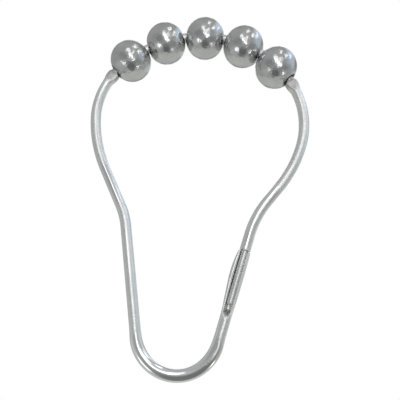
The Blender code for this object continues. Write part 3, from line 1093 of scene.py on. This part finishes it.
@dataclass
class Studio:
    """Pale floor, grey tent with windows and a white opening, and lamps round the hook.

    Each band of the tent has the height, -1 to 1, at which the middle ball mirrors it, and its colour.
    """

    portrait: Portrait
    middle: Vector
    floor_height: float = -0.20
    floor_size: float = 12.0
    floor_fade: tuple[float, float] = (0.25, 0.7)
    floor_colour: Colour = (0.80, 0.80, 0.78)
    floor_roughness: float = 0.9
    tent_radius: float = 0.9
    tent_segments: tuple[int, int] = (64, 32)
    tent_opening: tuple[float, float] = (math.radians(30.0), math.radians(23.0))
    tent_bands: tuple[tuple[float, Colour], ...] = (
        (-1.0, (0.45, 0.46, 0.44)),
        (-0.80, (0.60, 0.61, 0.58)),
        (-0.46, (0.58, 0.59, 0.56)),
        (-0.36, (0.42, 0.43, 0.42)),
        (0.30, (0.40, 0.41, 0.41)),
        (0.75, grey(0.46)),
        (1.0, grey(0.40)),
    )
    tent_edge: Colour = (0.30, 0.31, 0.31)
    tent_edge_range: tuple[float, float] = (0.90, 0.97)
    room_light: float = 0.85
    lamps: tuple[Lamp, ...] = (
        Lamp("key", (0.08, 0.40), 0.50, (0.16, 0.22), 3.0),
        Lamp("fill", (-0.45, 0.45), 0.60, (0.20, 0.20), 1.0),
    )
    panes: tuple[Pane, ...] = (
        Pane("right_wall", (0.84, 0.26), (0.34, 0.40), 0.0, 0.45, (0.60, 0.67, 0.74)),
        Pane("right_edge", (0.97, -0.08), (0.13, 0.38), 0.0, 0.5, (0.30, 0.31, 0.31)),
        Pane("right_low", (0.84, -0.50), (0.16, 0.28), 0.0, 0.5, (0.70, 0.72, 0.68)),
        Pane("right_sky", (0.72, 0.55), (0.24, 0.20), 0.0, 0.5, (0.68, 0.78, 0.94)),
        Pane("left_cloth", (-0.30, 0.26), (0.22, 0.14), 0.0, 0.6, (0.31, 0.31, 0.32)),
        Pane("middle_cloth", (0.30, 0.0), (0.30, 0.14), 0.0, 0.6, (0.30, 0.31, 0.31)),
        Pane("low_left_light", (-0.42, -0.14), (0.24, 0.16), 0.0, 0.6, grey(0.56)),
        Pane("key_haze", (0.08, 0.38), (0.22, 0.30), 12.0, 0.6, grey(0.55)),
        Pane("key_left", (-0.06, 0.44), (0.055, 0.13), 22.0, 0.3, grey(1.7), Outline.BOX),
        Pane("key_middle", (0.03, 0.30), (0.07, 0.09), 30.0, 0.3, grey(1.9), Outline.BOX),
        Pane("key_low", (0.11, 0.17), (0.07, 0.10), 30.0, 0.3, grey(2.0), Outline.BOX),
        Pane("key_right", (0.17, 0.42), (0.045, 0.08), -24.0, 0.3, grey(1.6), Outline.BOX),
        Pane("key_top", (0.22, 0.70), (0.065, 0.085), -20.0, 0.35, grey(1.6)),
        Pane("second", (0.44, 0.49), (0.055, 0.09), -28.0, 0.35, grey(1.6)),
        Pane("third", (0.66, 0.46), (0.04, 0.12), -22.0, 0.4, (1.4, 1.5, 1.7)),
        Pane("left_spot", (-0.32, -0.08), (0.09, 0.06), -30.0, 0.4, grey(1.9)),
        Pane("right_spot", (0.35, -0.25), (0.045, 0.06), 0.0, 0.4, grey(1.9)),
    )
    camera_body: Board = Board("camera_body", (0.084, 0.094), 0.078, 0.175, 0.6)
    thickness_scale: float = 1000.0

    def __post_init__(self) -> None:
        """Find the directions from the middle ball to the camera, and to the right and up in its picture."""
        self.sight = (self.portrait.position - self.middle).normalized()
        level = self.portrait.right
        self.right = (level - level.dot(self.sight) * self.sight).normalized()
        self.up = self.sight.cross(self.right)

    def mirrored(self, show: tuple[float, float]) -> Vector:
        """Find what a place on the middle ball mirrors.

        Args:
            show: Place on the ball as the camera sees it, in ball radii to the right and up.

        Returns:
            Unit vector from the ball towards what it mirrors there.
        """
        across, above = show
        outwards = math.sqrt(max(0.0, 1 - across**2 - above**2))
        normal = across * self.right + above * self.up + outwards * self.sight
        return 2 * normal.dot(self.sight) * normal - self.sight

    def stand(self, mesh: Mesh, material: Material, place: Vector) -> Item:
        """Stand an item of the stage at its place.

        Args:
            mesh: Its mesh, whose name it takes.
            material: Its material.
            place: Where its origin goes.

        Returns:
            The item.
        """
        mesh.materials.append(material)
        item = add_object(mesh.name, mesh)
        item.location = place
        return item

    def only_in_reflections(self, item: Item) -> None:
        """Hide an item from everything but reflections."""
        for use in ("camera", "diffuse", "transmission", "shadow"):
            setattr(item, f"visible_{use}", False)

    def glowing(self, name: str) -> tuple[Material, Tree, Socket]:
        """Make a material for a glow that only reflections show.

        Args:
            name: Its name.

        Returns:
            The material, its node tree, and the input there that takes its surface.
        """
        material, tree = new_material(name)
        material.cycles.emission_sampling = "NONE"
        tree.nodes.clear()
        return material, tree, tree.nodes.new("ShaderNodeOutputMaterial").inputs["Surface"]

    def reach(self, tree: Tree, spot: Socket, pane: Pane) -> Socket:
        """Measure how far out in a pane a spot lies.

        Args:
            tree: The tent's node tree.
            spot: Where the middle ball mirrors it, in ball radii to the right and up.
            pane: The pane.

        Returns:
            0 at the pane's middle and 1 on its outline.
        """
        given = {
            "Vector": spot,
            "Location": (*pane.show, 0.0),
            "Rotation": (0.0, 0.0, math.radians(pane.turn)),
            "Scale": (*pane.half, 1.0),
        }
        place = put(tree, "Mapping", 0, given, vector_type="TEXTURE", label=pane.name)
        if pane.outline is Outline.ROUND:
            return vectors(tree, "LENGTH", place)
        sides = tree.nodes.new("ShaderNodeSeparateXYZ")
        tree.links.new(vectors(tree, "ABSOLUTE", place), sides.inputs[0])
        return maths(tree, "MAXIMUM", sides.outputs[0], sides.outputs[1])

    def bands(self, tree: Tree, above: Socket) -> Socket:
        """Lay out the tent's bands of grey.

        Args:
            tree: The tent's node tree.
            above: How high on the middle ball a spot is mirrored, in ball radii.

        Returns:
            The colour of the band there.
        """
        ramp = tree.nodes.new("ShaderNodeValToRGB")
        elements = ramp.color_ramp.elements
        while len(elements) < len(self.tent_bands):
            elements.new(0.5)
        for element, (level, colour) in zip(elements, self.tent_bands):
            element.position = (level + 1) / 2
            element.color = (*colour, 1.0)
        tree.links.new(ranged(tree, above, (-1.0, 1.0), (0.0, 1.0)), ramp.inputs["Fac"])
        return ramp.outputs["Color"]

    def tent_cloth(self) -> Material:
        """Weave the tent's cloth: its bands of grey, its windows, and its white opening behind the hook.

        Each but the opening is laid out where the middle ball mirrors it.

        Returns:
            A material that glows with these tones, which lamps don't change.
        """
        material, tree, surface = self.glowing("tent_cloth")
        way = vectors(tree, "NORMALIZE", put(tree, "TexCoord", "Object", {}))
        between = vectors(tree, "NORMALIZE", vectors(tree, "ADD", way, self.sight))
        across = vectors(tree, "DOT_PRODUCT", between, self.right)
        above = vectors(tree, "DOT_PRODUCT", between, self.up)
        behind = vectors(tree, "DOT_PRODUCT", way, -self.sight)
        spot = put(tree, "CombineXYZ", 0, {0: across, 1: above})
        rim = vectors(tree, "LENGTH", spot)
        tone = self.bands(tree, above)
        tone = lay(tree, tone, smooth_range(tree, rim, *self.tent_edge_range), self.tent_edge)
        for pane in self.panes:
            inside = smooth_range(tree, self.reach(tree, spot, pane), 1 + pane.soft, 1 - pane.soft)
            tone = lay(tree, tone, inside, pane.colour)
        opening = smooth_range(tree, behind, *(math.cos(angle) for angle in self.tent_opening))
        tone = lay(tree, tone, opening, WHITE)
        tree.links.new(put(tree, "Emission", 0, {"Color": tone}), surface)
        return material

    def build_tent(self) -> None:
        """Stand the grey tent round the hook."""
        shape = bmesh.new()
        across, along = self.tent_segments
        bmesh.ops.create_uvsphere(shape, u_segments=across, v_segments=along, radius=self.tent_radius)
        mesh = bpy.data.meshes.new("grey_tent")
        shape.to_mesh(mesh)
        shape.free()
        tent = self.stand(mesh, self.tent_cloth(), self.middle)
        self.only_in_reflections(tent)

    def build_floor(self) -> None:
        """Lay the pale floor, which runs out into the white background as it gets further from the hook."""
        material, tree = new_material("pale_floor")
        shader = tree.nodes["Principled BSDF"]
        shader.inputs["Base Color"].default_value = (*self.floor_colour, 1.0)
        shader.inputs["Roughness"].default_value = self.floor_roughness
        away = vectors(tree, "LENGTH", put(tree, "TexCoord", "Object", {}))
        share = smooth_range(tree, away, *self.floor_fade)
        seen = maths(tree, "MULTIPLY", share, put(tree, "LightPath", "Is Camera Ray", {}))
        given = {0: seen, 1: shader.outputs[0], 2: put(tree, "Emission", 0, {})}
        faded = put(tree, "MixShader", 0, given)
        tree.links.new(faded, tree.nodes["Material Output"].inputs["Surface"])
        half = self.floor_size / 2
        corners = [(-half, -half, 0), (half, -half, 0), (half, half, 0), (-half, half, 0)]
        mesh = bpy.data.meshes.new("pale_floor")
        mesh.from_pydata(corners, [], [(0, 1, 2, 3)])
        floor = self.stand(mesh, material, Vector((0.0, 0.0, self.floor_height)))
        floor.visible_glossy = False

    def build_camera_body(self) -> None:
        """Hang the dark board that stands for the camera's body under the lens.

        Its soft edge is a gradient from its middle outwards. thickness_scale keeps the side on which the
        board has no thickness out of that gradient.
        """
        board = self.camera_body
        middle = self.portrait.position - board.below * self.up
        across, along = board.half[0] * self.right, board.half[1] * self.up
        swing = evenly(0.0, 2 * math.pi, board.corners)[:-1]
        points = [middle + math.cos(angle) * across + math.sin(angle) * along for angle in swing]
        mesh = bpy.data.meshes.new(board.name)
        mesh.from_pydata(points, [], [tuple(range(len(points)))])
        material, tree, surface = self.glowing(board.name)
        box = {
            "Vector": put(tree, "TexCoord", "Generated", {}),
            "Location": (0.5, 0.5, 0.5),
            "Scale": (0.5, self.thickness_scale, 0.5),
        }
        place = put(tree, "Mapping", "Vector", box, vector_type="TEXTURE")
        inwards = put(tree, "TexGradient", "Fac", {"Vector": place}, gradient_type="SPHERICAL")
        given = {
            0: smooth_range(tree, inwards, 0.0, board.soft),
            1: put(tree, "BsdfTransparent", 0, {}),
            2: put(tree, "Emission", 0, {"Color": (*grey(board.tone), 1.0)}),
        }
        tree.links.new(put(tree, "MixShader", 0, given), surface)
        item = self.stand(mesh, material, Vector())
        self.only_in_reflections(item)

    def build_lamps(self) -> None:
        """Hang the lamps, each as bright as its radiance says and facing the middle ball."""
        for lamp in self.lamps:
            light = bpy.data.lights.new(lamp.name, "AREA")
            light.shape = "RECTANGLE"
            light.size, light.size_y = lamp.size
            light.energy = lamp.radiance * math.pi * lamp.size[0] * lamp.size[1]
            item = add_object(lamp.name, light)
            item.visible_camera = False
            item.visible_glossy = False
            way = self.mirrored(lamp.show)
            item.location = self.middle + lamp.distance * way
            item.rotation_euler = way.to_track_quat("Z", "Y").to_euler()

    def build_world(self) -> None:
        """Make a white background for the camera and for reflections, and an even room light for the rest."""
        world = bpy.data.worlds.new("white_room")
        bpy.context.scene.world = world
        world.use_nodes = True
        tree = world.node_tree
        back = tree.nodes["Background"]
        back.inputs["Color"].default_value = (*WHITE, 1.0)
        camera, glossy, through = (
            put(tree, "LightPath", f"Is {ray} Ray", {}) for ray in ("Camera", "Glossy", "Transmission")
        )
        seen = maths(tree, "MAXIMUM", maths(tree, "MAXIMUM", camera, glossy), through)
        strength = ranged(tree, seen, (0.0, 1.0), (self.room_light, 1.0))
        tree.links.new(strength, back.inputs["Strength"])

    def build(self) -> None:
        """Set up the whole studio."""
        self.build_floor()
        self.build_tent()
        self.build_camera_body()
        self.build_lamps()
        self.build_world()
        bpy.context.scene.view_settings.view_transform = "Standard"
        LOG.info("studio: %d lamps, %d windows and cloths", len(self.lamps), len(self.panes))


def main() -> None:
    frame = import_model()
    portrait = Portrait()
    portrait.build()
    WireRing().build()
    joints = frame["joints"]
    RollerBall().build(joints)
    middle_ball = Vector(joints[len(joints) // 2]["pos_m"])
    Studio(portrait, middle_ball).build()


if __name__ == "__main__":
    logging.basicConfig(level=logging.INFO, format="%(name)s: %(message)s")
    main()
